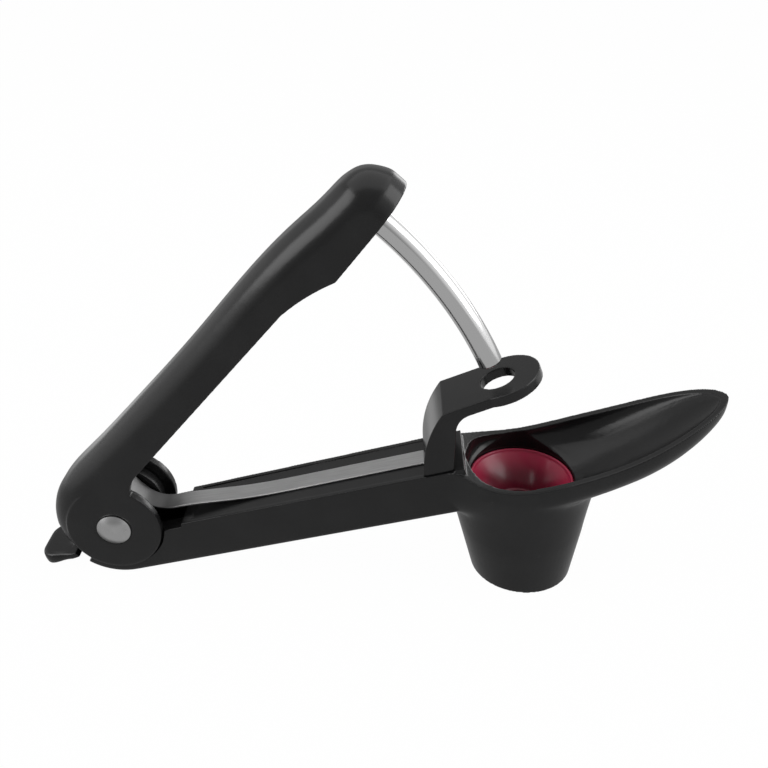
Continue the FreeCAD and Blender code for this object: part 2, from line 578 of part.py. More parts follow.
# ---------------------------------------------------------------- leaf spring
def leaf_spring():
    """Steel leaf under the stripper's foot, along the arm and up into the handle."""
    floor = -ARM_DROP - ARM_PANEL_DEPTH
    start = on_arm(0, floor)
    foot = leg_foot(SPRING_END_X)
    along_foot = hypot(foot.x - start.x, foot.z - start.z)
    path = [on_arm(SPRING_LIFT_X, floor)]
    for along, above in SPRING_RISE:
        path.append(on_arm(along, above))
    spline = Part.BSplineCurve()
    spline.interpolate(path)
    lower = [line(on_arm(along_foot, floor), path[0]), spline.toShape()]
    count = 24
    upper = []
    for step in range(count + 1):
        at = spline.FirstParameter + (spline.LastParameter - spline.FirstParameter) * step / count
        point = spline.value(at)
        direction = spline.tangent(at)[0]
        upper.append(point + Vector(direction.z, 0, -direction.x) * SPRING_THICKNESS)
    top_spline = Part.BSplineCurve()
    top_spline.interpolate(upper)
    far = on_arm(along_foot, floor + SPRING_THICKNESS)
    edges = lower + [line(path[-1], upper[-1]), top_spline.toShape(), line(upper[0], far),
                     line(far, on_arm(along_foot, floor))]
    leaf = across(edges, -SPRING_WIDTH / 2, SPRING_WIDTH / 2)
    hole = Part.makeCylinder(SCREW_RADIUS + CUP_FIT, SCREW_LENGTH, Vector(SCREW_X, 0, screw_seat()))
    return clean(leaf.cut(hole))


# ---------------------------------------------------------------- handle and rod
def face_height(along):
    """Height of the head's lower face above the pivot line."""
    share = (along - HEAD_START) / (HEAD_ROUND_CENTRE - HEAD_START)
    return HEAD_FACE_START + (HEAD_FACE_END - HEAD_FACE_START) * share


def heel_points(inset):
    """Round the heel from its end to the back, drawn in by a wall."""
    turn = 90 + HANDLE_ANGLE
    swell = HANDLE_BACK_HINGE - HEEL_RADIUS
    points = []
    for share in HEEL_SHARES:
        angle = HEEL_ANGLE + (turn - HEEL_ANGLE) * share
        points.append(polar(HEEL_RADIUS + swell * share ** HEEL_SWELL - inset, angle))
    return points


def back_points(inset):
    """Along the back from the hinge to just before the head, drawn in by a wall."""
    near = (HANDLE_BACK_HINGE * 2 + HANDLE_BACK_QUARTER) / 3
    heights = (HANDLE_BACK_HINGE, near, HANDLE_BACK_QUARTER, HANDLE_BACK_MIDDLE)
    return [on_handle(HEAD_START * share, above - inset) for share, above in zip(BACK_SHARES, heights)]


def handle_profile():
    """Side outline: round heel, long back, round head, face, notch and underside."""
    tip = HEAD_ROUND_CENTRE + HALF_HINGE
    nose = face_height(tip)
    back = curve(heel_points(0) + back_points(0) + [
        on_handle(HEAD_START, HANDLE_BACK_HEAD),
        on_handle(HEAD_START + HEAD_CREST, HANDLE_BACK_HEAD - HEAD_CREST_DROP),
        on_handle(tip - HEAD_SHOULDER, HANDLE_BACK_HEAD - HEAD_SHOULDER_DROP),
        on_handle(tip - HEAD_BROW, HANDLE_BACK_HEAD - HEAD_BROW_DROP), on_handle(tip, nose + HEAD_LIP)])
    disc_exit = HEEL_ANGLE + degrees(acos(CHEEK_RADIUS / HEEL_RADIUS))
    crook = asin(HANDLE_UNDERSIDE * CROOK_SHARE / CHEEK_RADIUS)
    crook_foot = on_handle(CHEEK_RADIUS * cos(crook), HANDLE_UNDERSIDE * CROOK_SHARE)
    crook_middle = on_handle(CHEEK_RADIUS + CROOK_LENGTH * CROOK_MIDDLE[0],
                             HANDLE_UNDERSIDE * CROOK_MIDDLE[1])
    crook_start = on_handle(CHEEK_RADIUS + CROOK_LENGTH, HANDLE_UNDERSIDE)
    notch_start = on_handle(HEAD_START - NOTCH_LENGTH, HANDLE_UNDERSIDE)
    notch_middle = on_handle(HEAD_START - NOTCH_LENGTH * (1 - NOTCH_BULGE), HANDLE_UNDERSIDE - NOTCH_DROP)
    return [back, line(on_handle(tip, nose + HEAD_LIP), on_handle(tip, nose)),
            line(on_handle(tip, nose), on_handle(HEAD_START, HEAD_FACE_START)),
            arc(on_handle(HEAD_START, HEAD_FACE_START), notch_middle, notch_start),
            line(notch_start, crook_start), arc(crook_start, crook_middle, crook_foot),
            line(crook_foot, PIVOT), line(PIVOT, polar(CHEEK_RADIUS, disc_exit)),
            line(polar(CHEEK_RADIUS, disc_exit), polar(HEEL_RADIUS, HEEL_ANGLE))]


def in_handle_plan(shape):
    """Turn a shape drawn flat, X along the handle, to lie along the open handle."""
    shape.rotate(Vector(0, 0, 0), ACROSS, -HANDLE_ANGLE)
    shape.translate(PIVOT)
    return shape


def handle_hollow():
    """Space between the cheeks and the open channel in the underside."""
    end_above = (HANDLE_BACK_MIDDLE + HANDLE_BACK_HEAD) / 2 - HANDLE_WALL
    end_top = on_handle(ROD_ARC_RADIUS - HEAD_SOLID_LENGTH, end_above)
    ceiling = heel_points(HANDLE_WALL) + back_points(HANDLE_WALL) + [end_top]
    below = -2 * HINGE_RADIUS
    corners = [end_top, on_handle(ROD_ARC_RADIUS - HEAD_SOLID_LENGTH, 0), on_handle(HINGE_RADIUS, below),
               polar(-below, HEEL_ANGLE + 30), polar(-below, HEEL_ANGLE), ceiling[0]]
    outline = [curve(ceiling)] + [line(a, b) for a, b in zip(corners, corners[1:])]
    hollow = rounded(across(outline, -CHEEK_INNER, CHEEK_INNER), HANDLE_CEILING_EDGE, is_ceiling_edge)
    rib_low = HANDLE_BACK_MIDDLE - HANDLE_WALL - RIB_DEPTH
    for along in RIB_PLACES:
        rib = Part.makeBox(RIB_THICKNESS, HINGE_WIDTH, HINGE_RADIUS, Vector(along, -HALF_HINGE, rib_low))
        hollow = hollow.cut(in_handle_plan(rib))
    return hollow


def is_ceiling_edge(edge):
    """Long curved edges of the hollow's ceiling."""
    channel = ROD_ARC_RADIUS - HEAD_SOLID_LENGTH
    return edge.Length > channel and edge.Curve.TypeId == "Part::GeomBSplineCurve"


def upper_handle():
    """Hollow handle with two round cheeks at the hinge and a solid round head."""
    body = across(handle_profile(), -HALF_HINGE, HALF_HINGE)
    plan = Part.makeBox(HEAD_ROUND_CENTRE + 2 * HINGE_RADIUS, HINGE_WIDTH, 4 * HINGE_RADIUS,
                        Vector(-2 * HINGE_RADIUS, -HALF_HINGE, -2 * HINGE_RADIUS))
    end = Part.makeCylinder(HALF_HINGE, 4 * HINGE_RADIUS, Vector(HEAD_ROUND_CENTRE, 0, -2 * HINGE_RADIUS))
    body = clean(body.common(in_handle_plan(clean(plan.fuse(end)))))
    body = rounded(body, HANDLE_EDGE, is_back_edge)
    body = clean(body.fuse(drum(CHEEK_RADIUS, -HALF_HINGE, HALF_HINGE)))
    body = body.cut(handle_hollow())
    cuts = [drum(RIVET_RADIUS, -HINGE_WIDTH, HINGE_WIDTH), plunger_rod()]
    for side in (-1, 1):
        low, high = sorted((side * (HALF_HINGE - RIVET_RECESS), side * HINGE_WIDTH))
        cuts.append(drum(RIVET_HEAD_RADIUS + RIVET_RECESS, low, high))
    return clean(body.cut(cuts))


def is_back_edge(edge):
    """Long outer edges of the handle's back, from the heel to the end of the head."""
    if edge.Length < CROOK_LENGTH * 2:
        return False
    middle = edge.valueAt((edge.FirstParameter + edge.LastParameter) / 2)
    dx, dz = middle.x, middle.z - PIVOT_HEIGHT
    c, s = cos(radians(HANDLE_ANGLE)), sin(radians(HANDLE_ANGLE))
    along, above = dx * c + dz * s, -dx * s + dz * c
    at_side = abs(abs(middle.y) - HALF_HINGE) < 0.01
    on_back = above > HANDLE_UNDERSIDE + 1 and at_side
    on_heel = along < 0 and hypot(dx, dz) > (HEEL_RADIUS + CHEEK_RADIUS) / 2 and at_side
    on_end = along > HEAD_ROUND_CENTRE and above > face_height(along) + 1.0
    return on_back or on_heel or on_end


def plunger_rod():
    """Round rod bent to a circle about the pivot, from its tip up into the head."""
    face_angle = HANDLE_ANGLE + degrees(atan2(face_height(ROD_ARC_RADIUS), ROD_ARC_RADIUS))
    socket = degrees(ROD_SOCKET_DEPTH / ROD_ARC_RADIUS)
    tip = polar(ROD_ARC_RADIUS, ROD_TIP_ANGLE)
    along = Vector(-sin(radians(ROD_TIP_ANGLE)), 0, cos(radians(ROD_TIP_ANGLE)))
    section = Part.Face(Part.Wire(Part.Circle(tip, along, ROD_RADIUS).toShape()))
    rod = section.revolve(PIVOT, ACROSS, -(face_angle + socket - ROD_TIP_ANGLE))
    edges = [edge for edge in rod.Edges if abs(edge.BoundBox.ZMin + edge.BoundBox.ZMax - 2 * tip.z) < 0.1
             and edge.Length > 4 * ROD_RADIUS and edge.BoundBox.ZLength < 2.5 * ROD_RADIUS]
    return rod.makeChamfer(ROD_TIP_CHAMFER, edges[:1])


# ---------------------------------------------------------------- pivot
def domed_head(radius, height, base_y, side):
    """Shallow spherical dome on the pivot axis, rising to one side from a base with a low upright edge."""
    edge = height * RIVET_HEAD_EDGE
    rise = height - edge
    sphere = (radius ** 2 + rise ** 2) / (2 * rise)
    half_rise = (sphere ** 2 - (radius / 2) ** 2) ** 0.5 - (sphere - rise)
    rim = Vector(radius, base_y, PIVOT_HEIGHT)
    shoulder = Vector(radius, base_y + side * edge, PIVOT_HEIGHT)
    half = Vector(radius / 2, base_y + side * (edge + half_rise), PIVOT_HEIGHT)
    top = Vector(0, base_y + side * height, PIVOT_HEIGHT)
    base = Vector(0, base_y, PIVOT_HEIGHT)
    outline = [line(base, rim), line(rim, shoulder), arc(shoulder, half, top), line(top, base)]
    face = Part.Face(Part.Wire(outline))
    return face.revolve(PIVOT, ACROSS, 360)


def pivot_rivet():
    """Rivet with its domed head on the near cheek and a smaller clenched head on the far one."""
    near = -(HALF_HINGE - RIVET_RECESS)
    far = HALF_HINGE - RIVET_RECESS + WASHER_THICKNESS
    shank = drum(RIVET_RADIUS, near, far)
    head = domed_head(RIVET_HEAD_RADIUS, RIVET_HEAD_HEIGHT + RIVET_RECESS, near, -1)
    clench = domed_head(WASHER_RADIUS - 0.7, RIVET_HEAD_HEIGHT, far, 1)
    return clean(shank.fuse([head, clench]))


def rivet_washer():
    low = HALF_HINGE - RIVET_RECESS
    return drum(WASHER_RADIUS, low, low + WASHER_THICKNESS).cut(drum(RIVET_RADIUS, 0, HINGE_WIDTH))


def pivot_sleeve():
    """Steel tube in the arm's hub, on which the rivet turns."""
    bore = RIVET_RADIUS + RUNNING_FIT
    end = HUB_HALF + SIDE_CLEARANCE / 2
    return drum(bore + SLEEVE_WALL, -end, end).cut(drum(bore, -HINGE_WIDTH, HINGE_WIDTH))


# ---------------------------------------------------------------- lock
def lock_lever():
    """Thumb tab behind the hinge, with a narrow neck and a knuckle on its own pin."""
    pin = polar(LOCK_PIN_DISTANCE, LOCK_PIN_ANGLE)
    neck_half = LUG_INNER - ROUND_CLEARANCE
    end_top = PIVOT + Vector(-LOCK_TAB_LENGTH, 0, -LOCK_TAB_TOP - LOCK_TAB_DROOP)
    root_top = PIVOT + Vector(-LOCK_TAB_ROOT, 0, -LOCK_TAB_TOP)
    root_low = root_top + Vector(LOCK_TAB_UNDERCUT, 0, -LOCK_TAB_DROOP)
    end_low = end_top + Vector(LOCK_TAB_UNDERCUT, 0, -LOCK_TAB_END)
    tab = across(polygon([root_top, end_top, end_low, root_low]), -LOCK_HALF_WIDTH, LOCK_HALF_WIDTH)
    ends = [edge for edge in tab.Edges
            if edge.BoundBox.YLength < 0.01 and edge.BoundBox.XMax < end_low.x + 0.01]
    tab = tab.makeFillet(LOCK_TAB_CORNER, ends)
    outward = polar(LOCK_KNUCKLE_RADIUS, LOCK_NECK_TOP) - PIVOT
    down = polar(LOCK_KNUCKLE_RADIUS, LOCK_NECK_LOW) - PIVOT
    overlap = (end_top - root_top) * LOCK_NECK_OVERLAP
    corners = [pin + outward, root_top + overlap, root_low + overlap, root_low, pin + down]
    neck = across(polygon(corners), -neck_half, neck_half)
    knuckle = drum(LOCK_KNUCKLE_RADIUS, -neck_half, neck_half, pin)
    lever = clean(tab.fuse([neck, knuckle]))
    return lever.cut(drum(LOCK_PIN_RADIUS + RUNNING_FIT, -HINGE_WIDTH, HINGE_WIDTH, pin))


def lock_pin():
    return drum(LOCK_PIN_RADIUS, -HUB_HALF, HUB_HALF, polar(LOCK_PIN_DISTANCE, LOCK_PIN_ANGLE))


# ---------------------------------------------------------------- output
PIECES = {
    "lower_arm": lower_arm,
    "cup_insert": cup_insert,
    "stripper_arm": stripper_arm,
    "stripper_screw": stripper_screw,
    "leaf_spring": leaf_spring,
    "pivot_sleeve": pivot_sleeve,
    "pivot_rivet": pivot_rivet,
    "rivet_washer": rivet_washer,
    "upper_handle": upper_handle,
    "plunger_rod": plunger_rod,
    "lock_lever": lock_lever,
    "lock_pin": lock_pin,
}


def main():
    os.makedirs("parts", exist_ok=True)
    shapes = {name: make() for name, make in PIECES.items()}
    box = FreeCAD.BoundBox()
    for shape in shapes.values():
        box.add(shape.optimalBoundingBox(False))
    shift = Vector(-(box.XMin + box.XMax) / 2, -(box.YMin + box.YMax) / 2, 0)
    print("pivot at %.3f %.3f %.3f, size %.2f x %.2f x %.2f, lowest %.4f" % (
        shift.x, shift.y, PIVOT_HEIGHT, box.XLength, box.YLength, box.ZLength, box.ZMin))
    for name, shape in shapes.items():
        shape.translate(shift)
        state = (name, len(shape.Solids), shape.isValid(), shape.Volume)
        print("%-15s solids %d valid %s volume %.1f" % state)
        shape.exportStep("parts/%s.step" % name)


main()
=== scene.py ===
"""Olive pitter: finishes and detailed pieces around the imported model.

Laid out as an add-on: sizes and colours are properties, each piece or group of pieces is an operator,
and main() runs them in order.  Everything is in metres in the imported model's own frame.
"""
import json
import math

import bmesh
import bpy
from mathutils import Euler, Matrix, Vector


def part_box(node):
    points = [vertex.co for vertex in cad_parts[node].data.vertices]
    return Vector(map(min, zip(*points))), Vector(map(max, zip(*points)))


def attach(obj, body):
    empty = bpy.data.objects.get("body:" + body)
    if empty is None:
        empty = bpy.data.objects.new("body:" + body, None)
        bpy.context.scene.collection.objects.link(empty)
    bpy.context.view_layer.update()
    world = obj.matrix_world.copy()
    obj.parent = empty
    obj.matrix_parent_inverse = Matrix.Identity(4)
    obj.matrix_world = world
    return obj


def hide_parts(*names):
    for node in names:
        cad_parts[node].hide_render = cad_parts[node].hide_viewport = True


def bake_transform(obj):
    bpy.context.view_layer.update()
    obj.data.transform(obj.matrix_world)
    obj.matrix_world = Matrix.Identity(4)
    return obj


bl_info = {
    "name": "Olive pitter",
    "version": (1, 0, 0),
    "blender": (4, 5, 0),
    "location": "View3D > Sidebar > Pitter",
    "description": "Builds the finished olive pitter around its packed parts",
    "category": "Object",
}

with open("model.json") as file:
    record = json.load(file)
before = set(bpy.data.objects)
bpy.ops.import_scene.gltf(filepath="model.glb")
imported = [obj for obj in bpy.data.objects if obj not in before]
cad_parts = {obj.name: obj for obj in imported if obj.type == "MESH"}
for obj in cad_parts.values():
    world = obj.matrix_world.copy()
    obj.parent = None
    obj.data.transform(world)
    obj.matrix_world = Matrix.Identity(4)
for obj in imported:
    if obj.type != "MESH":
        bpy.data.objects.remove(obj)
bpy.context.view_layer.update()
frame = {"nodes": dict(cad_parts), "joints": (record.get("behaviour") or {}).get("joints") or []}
NODES = frame["nodes"]
MM = 0.001


def joint_place(name):
    """Where a joint's axis lies at rest."""
    for joint in frame["joints"]:
        if joint["name"] == name:
            return Vector(joint["pos_m"])
    raise RuntimeError("the packed model has no joint " + name)


PIVOT = joint_place("handle_squeeze")
LOCK_PIVOT = joint_place("lock_flip")


# ---------------------------------------------------------------- shader maths
class Value:
    """A shader socket on which ordinary arithmetic adds Math nodes."""

    def __init__(self, shader, socket):
        self.shader = shader
        self.socket = socket

    def _with(self, operation, *others, clamp=False):
        node = self.shader.tree.nodes.new("ShaderNodeMath")
        node.operation = operation
        node.use_clamp = clamp
        for slot, value in zip(node.inputs, (self,) + others):
            self.shader.feed(slot, value)
        return Value(self.shader, node.outputs[0])

    def __add__(self, other):
        return self._with("ADD", other)

    __radd__ = __add__

    def __mul__(self, other):
        return self._with("MULTIPLY", other)

    __rmul__ = __mul__

    def __sub__(self, other):
        return self._with("SUBTRACT", other)

    def __rsub__(self, other):
        return (self * -1.0)._with("ADD", other)

    def __truediv__(self, other):
        return self._with("DIVIDE", other)

    def __pow__(self, other):
        return self._with("POWER", other)

    def sine(self):
        return self._with("SINE")

    def limited(self):
        return self._with("ADD", 0.0, clamp=True)

    def step(self, low, high):
        """0 below low and 1 above high, with a smooth change between."""
        node = self.shader.add("ShaderNodeMapRange", {"interpolation_type": "SMOOTHSTEP"},
                               {"Value": self, "From Min": low, "From Max": high})
        return node["Result"]


class Outputs:
    """Outputs of a node, each as a Value, by name."""

    def __init__(self, shader, node):
        self.shader = shader
        self.node = node

    def __getitem__(self, name):
        return Value(self.shader, self.node.outputs[name])


class Shader:
    """One material, or the surroundings, under construction."""

    def __init__(self, name, store=bpy.data.materials):
        self.owner = store.new(name)
        self.owner.use_nodes = True
        self.tree = self.owner.node_tree
        self.tree.nodes.clear()

    def feed(self, slot, value):
        if isinstance(value, Value):
            self.tree.links.new(value.socket, slot)
        else:
            slot.default_value = value

    def add(self, kind, settings=None, inputs=None):
        """Add a node, set its settings first and then its inputs."""
        node = self.tree.nodes.new(kind)
        for key, value in (settings or {}).items():
            setattr(node, key, value)
        for key, value in (inputs or {}).items():
            self.feed(node.inputs[key], value)
        return Outputs(self, node)

    def place(self):
        return self.add("ShaderNodeTexCoord")["Object"]

    def moved(self, vector, scale=(1.0, 1.0, 1.0), location=(0.0, 0.0, 0.0), turn=(0.0, 0.0, 0.0)):
        return self.add("ShaderNodeMapping", {}, {
            "Vector": vector, "Location": location, "Rotation": turn, "Scale": scale})["Vector"]

    def noise(self, vector, scale, detail=2.0, roughness=0.5):
        return self.add("ShaderNodeTexNoise", {}, {
            "Vector": vector, "Scale": scale, "Detail": detail, "Roughness": roughness})["Fac"]

    def split(self, vector):
        node = self.add("ShaderNodeSeparateXYZ", {}, {"Vector": vector})
        return node["X"], node["Y"], node["Z"]

    def blend(self, share, first, second):
        """Mix two colours."""
        node = self.tree.nodes.new("ShaderNodeMix")
        node.data_type = "RGBA"
        self.feed(node.inputs["Factor"], share)
        self.feed(node.inputs[6], first)
        self.feed(node.inputs[7], second)
        return Value(self, node.outputs[2])

    def bump(self, height, strength, distance, normal=None):
        inputs = {"Height": height, "Strength": strength, "Distance": distance}
        if normal:
            inputs["Normal"] = normal
        return self.add("ShaderNodeBump", {}, inputs)["Normal"]

    def principled(self, **sockets):
        """Finish with one principled surface."""
        named = {key.replace("_", " "): value for key, value in sockets.items()}
        return self.finish(self.add("ShaderNodeBsdfPrincipled", {}, named)["BSDF"])

    def mixed(self, share, first, second):
        """Mix two surfaces."""
        node = self.tree.nodes.new("ShaderNodeMixShader")
        for slot, value in zip(node.inputs, (share, first, second)):
            self.feed(slot, value)
        return Value(self, node.outputs[0])

    def finish(self, surface, kind="ShaderNodeOutputMaterial"):
        self.add(kind, {}, {"Surface": surface})
        return self.owner


def grey(level):
    return (level, level, level, 1.0)


def shade(colour, share=1.0):
    """A colour property with full cover, made lighter or darker by a share."""
    return (*(channel * share for channel in colour), 1.0)


# ---------------------------------------------------------------- finishes
MICRON = 0.000001
CLOUD_LIGHTNESS = 1.35       # lightest patches of the black mouldings against their colour
CUP_SHADE_SHARE = 0.34        # painted shade: colour at the cup's bottom against its rim
CUP_SHADE_HEIGHT = 4.5 * MM   # how far up from the bottom the painted shade reaches
LEAF_SHADE_SPAN = (8.0 * MM, 24.0 * MM)    # from the pivot along the tool, where the painted shade inside the hinge gives way to the leaf's grey
RIVET_DOME = 0.5 * MM
RIVET_REACH = 4.6 * MM       # radius of the domed head


def black_moulding(name, sizes):
    """Glossy black ABS with a faint orange peel and light handling marks."""
    shader = Shader(name)
    place = shader.place()
    cloud = shader.noise(place, 90.0, 3.0)
    streaked = shader.moved(place, scale=(1.0, 3.0, 1.0), turn=(0.0, -0.85, 0.3))
    marks = shader.noise(streaked, 420.0, 4.0, 0.7)
    peel = shader.noise(place, 700.0, 1.0)
    fine = shader.noise(place, 5200.0, 2.0, 0.6)
    black, lighter = shade(sizes.black_colour), shade(sizes.black_colour, CLOUD_LIGHTNESS)
    base = shader.blend(cloud.step(0.35, 0.7), black, lighter)
    roughness = sizes.black_roughness + (cloud - 0.5) * 0.05 + marks.step(0.6, 0.85) * 0.05
    normal = shader.bump(fine, 0.06, 20 * MICRON, shader.bump(peel, 0.10, 60 * MICRON))
    return shader.principled(Base_Color=base, Roughness=roughness, Normal=normal, Specular_IOR_Level=0.45)


def crimson_moulding(name, sizes):
    """Glossy crimson cup, darker towards its bottom hole with painted shade."""
    shader = Shader(name)
    place = shader.place()
    low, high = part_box("cup_insert")
    height = shader.split(place)[2]
    # painted shade: the cup's colour darkens from the rim down to its bottom
    clear_of_shade = height.step(low.z + CUP_SHADE_HEIGHT, high.z)
    cloud = shader.noise(place, 160.0, 2.0)
    base = shader.blend((clear_of_shade + (cloud - 0.5) * 0.15).limited(), shade(sizes.cup_colour, CUP_SHADE_SHARE),
                        shade(sizes.cup_colour))
    peel = shader.noise(place, 900.0, 1.0)
    normal = shader.bump(peel, 0.12, 50 * MICRON)
    return shader.principled(Base_Color=base, Roughness=0.2 + cloud * 0.06, Normal=normal,
                             Subsurface_Weight=0.16, Subsurface_Radius=(0.0025, 0.0006, 0.0006),
                             Specular_IOR_Level=0.42)


def polished_rod(name):
    """Chromed rod with fine draw lines along its arc."""
    shader = Shader(name)
    x, y, z = shader.split(shader.moved(shader.place(), location=tuple(-PIVOT)))
    radius = (x * x + z * z) ** 0.5
    rings = shader.add("ShaderNodeCombineXYZ", {}, {"X": radius / MM, "Y": y / MM})["Vector"]
    lines = shader.noise(rings, 5.5, 3.0, 0.7)
    tint = shader.blend(lines, grey(0.7), grey(0.84))
    normal = shader.bump(lines, 0.08, 20 * MICRON)
    return shader.principled(Base_Color=tint, Metallic=1.0, Roughness=0.09 + lines * 0.07, Normal=normal)


def brushed_leaf(name):
    """Spring steel leaf, brushed along its length, with painted shade where it bends up into the hinge."""
    shader = Shader(name)
    past_shade = shader.split(shader.place())[0].step(PIVOT.x + LEAF_SHADE_SPAN[0], PIVOT.x + LEAF_SHADE_SPAN[1])
    grain = shader.noise(shader.moved(shader.place(), scale=(14.0, 900.0, 60.0)), 6.0, 4.0, 0.65)
    blotch = shader.noise(shader.place(), 120.0, 2.0)
    tint = shader.blend((grain * 1.6 + blotch * 0.4 - 0.5).limited(), grey(0.34), grey(0.64))
    # painted shade: the leaf is dark grey where it bends up between the hinge cheeks
    tint = shader.blend(past_shade, grey(0.16), tint)
    normal = shader.bump(grain, 0.12, 30 * MICRON)
    return shader.principled(Base_Color=tint, Metallic=1.0, Roughness=0.3 + grain * 0.14, Normal=normal)


def turned_steel(name, centre, level, roughness, dome=0.0):
    """Bright steel with fine turning rings about an axis across the tool, domed if a height is given."""
    shader = Shader(name)
    x, _, z = shader.split(shader.moved(shader.place(), location=tuple(-centre)))
    radius = (x * x + z * z) ** 0.5
    rings = (radius * 9000.0).sine() * 0.5 + 0.5
    smudge = shader.noise(shader.place(), 300.0, 3.0)
    tint = shader.blend(smudge, grey(level * 0.85), grey(min(level * 1.1, 1.0)))
    normal = shader.bump(1.0 - radius * radius / RIVET_REACH ** 2, 1.0, dome) if dome else None
    normal = shader.bump(rings, 0.05, 10 * MICRON, normal)
    return shader.principled(Base_Color=tint, Metallic=1.0, Roughness=roughness + smudge * 0.1, Normal=normal)


def plated_steel(name):
    """Zinc-plated screw."""
    shader = Shader(name)
    grain = shader.noise(shader.place(), 800.0, 3.0)
    tint = shader.blend(grain, grey(0.5), (0.62, 0.62, 0.58, 1.0))
    return shader.principled(Base_Color=tint, Metallic=1.0, Roughness=0.3 + grain * 0.15,
                             Normal=shader.bump(grain, 0.1, 30 * MICRON))


# ---------------------------------------------------------------- mesh tools
JOIN_DISTANCE = 0.002 * MM
RELAX_ROUNDS = 28            # rounds of each smoothing pass

SWEEP_START = -17.0 * MM     # the swept band, along the tool from the cup's middle
SWEEP_END = 27.0 * MM
SWEEP_FLOOR = -15.0 * MM     # its lowest point, from the cup's rim
SWEEP_TOP = 1.0 * MM         # its highest point
SWEEP_RISE_START = 5.0 * MM  # from here the top rises towards the spout
SWEEP_RISE = 0.3
SWEEP_INNER = (16.5, 14.2)   # ellipse around the cup, in millimetres, that is left as it is
SWEEP_FADES = (5.0 * MM, 4.0 * MM, 2.5 * MM)    # over its start, floor and top
SWEEP_PASSES = 8

TAB_START = -6.0 * MM        # from the lock's pin, where the rounded tab begins
TAB_FADE = 2.5 * MM
TAB_PASSES = 9


def give(piece, material):
    piece.data.materials.clear()
    piece.data.materials.append(material)


def new_piece(name, mesh):
    piece = bpy.data.objects.new(name, mesh)
    bpy.context.scene.collection.objects.link(piece)
    return piece


def baked(piece):
    """Apply all modifiers by taking the evaluated mesh."""
    graph = bpy.context.evaluated_depsgraph_get()
    graph.update()
    mesh = bpy.data.meshes.new_from_object(piece.evaluated_get(graph))
    old = piece.data
    piece.modifiers.clear()
    piece.data = mesh
    if old.users == 0:
        bpy.data.meshes.remove(old)
    return piece


def smooth_faces(mesh):
    mesh.shade_smooth()


def merged_copy(node, name):
    """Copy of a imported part's mesh with its loose triangles joined."""
    mesh = NODES[node].data.copy()
    mesh.name = name
    work = bmesh.new()
    work.from_mesh(mesh)
    bmesh.ops.remove_doubles(work, verts=work.verts, dist=JOIN_DISTANCE)
    work.to_mesh(mesh)
    work.free()
    return new_piece(name, mesh)


def softened(node, name, grain, rounds, most_triangles):
    """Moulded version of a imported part: its edges are rounded as a mould leaves them."""
    piece = merged_copy(node, name)
    remesh = piece.modifiers.new("even", "REMESH")
    remesh.mode = "VOXEL"
    remesh.voxel_size = grain * 1.0
    smooth = piece.modifiers.new("soften", "SMOOTH")
    smooth.factor = 0.5
    smooth.iterations = rounds
    baked(piece)
    triangles = 2 * len(piece.data.polygons)
    if triangles > most_triangles:
        fewer = piece.modifiers.new("fewer", "DECIMATE")
        fewer.ratio = most_triangles / triangles
        baked(piece)
    smooth_faces(piece.data)
    return piece


def blend_chute(piece):
    """Run the tray's underside into the chute in one soft sweep."""
    low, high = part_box("cup_insert")
    centre_x = (low.x + high.x) / 2
    start_fade, floor_fade, top_fade = SWEEP_FADES
    band = piece.vertex_groups.new(name="band")
    for vertex in piece.data.vertices:
        along, across, height = vertex.co.x - centre_x, abs(vertex.co.y), vertex.co.z - high.z
        outer = math.hypot(along / SWEEP_INNER[0], across / SWEEP_INNER[1]) > MM
        if outer and SWEEP_START < along < SWEEP_END and SWEEP_FLOOR < height:
            top = SWEEP_TOP + max(along - SWEEP_RISE_START, 0.0) * SWEEP_RISE
            fade = min(1.0, (height - SWEEP_FLOOR) / floor_fade, (top - height) / top_fade,
                       (along - SWEEP_START) / start_fade)
            if fade > 0.0:
                band.add([vertex.index], fade, "REPLACE")
    relax(piece, band, SWEEP_PASSES)


def round_tab(piece):
    """Round off the lock's thumb tab and leave its neck and knuckle sharp."""
    tab = piece.vertex_groups.new(name="tab")
    for vertex in piece.data.vertices:
        fade = min(1.0, (LOCK_PIVOT.x + TAB_START - vertex.co.x) / TAB_FADE)
        if fade > 0.0:
            tab.add([vertex.index], fade, "REPLACE")
    relax(piece, tab, TAB_PASSES)


def relax(piece, group, passes):
    """Smooth a group of a mesh's points in several passes."""
    for _ in range(passes):
        smooth = piece.modifiers.new("relax", "SMOOTH")
        smooth.factor = 0.5
        smooth.iterations = RELAX_ROUNDS
        smooth.vertex_group = group.name
    baked(piece)
    piece.vertex_groups.clear()
    smooth_faces(piece.data)


def lathe(name, profile, centre, axis, steps):
    """Closed mesh turned from a profile of (radius, height) points about an axis."""
    work = bmesh.new()
    across = Vector((1, 0, 0)) if abs(axis.x) < 0.5 else Vector((0, 0, 1))
    side = axis.cross(across).normalized()
    front = side.cross(axis).normalized()
    rings = []
    for radius, height in profile:
        if radius < 1e-7:
            rings.append([work.verts.new(centre + axis * height)])
            continue
        ring = []
        for step in range(steps):
            angle = 2 * math.pi * step / steps
            spoke = front * math.cos(angle) + side * math.sin(angle)
            ring.append(work.verts.new(centre + axis * height + spoke * radius))
        rings.append(ring)
    pairs = list(zip(rings, rings[1:]))
    if len(rings[0]) > 1 and len(rings[-1]) > 1:
        pairs.append((rings[-1], rings[0]))
    for low, high in pairs:
        for step in range(steps):
            after = (step + 1) % steps
            corners = [low[step % len(low)], low[after % len(low)],
                       high[after % len(high)], high[step % len(high)]]
            corners = list(dict.fromkeys(corners))
            if len(corners) > 2:
                work.faces.new(corners)
    bmesh.ops.recalc_face_normals(work, faces=work.faces)
    mesh = bpy.data.meshes.new(name)
    work.to_mesh(mesh)
    work.free()
    smooth_faces(mesh)
    return new_piece(name, mesh)


def arc_points(centre, radius, start, end, count):
    """Points of an arc in a profile, from one direction to another in degrees."""
    points = []
    for step in range(count + 1):
        angle = math.radians(start + (end - start) * step / count)
        points.append((centre[0] + radius * math.cos(angle), centre[1] + radius * math.sin(angle)))
    return points


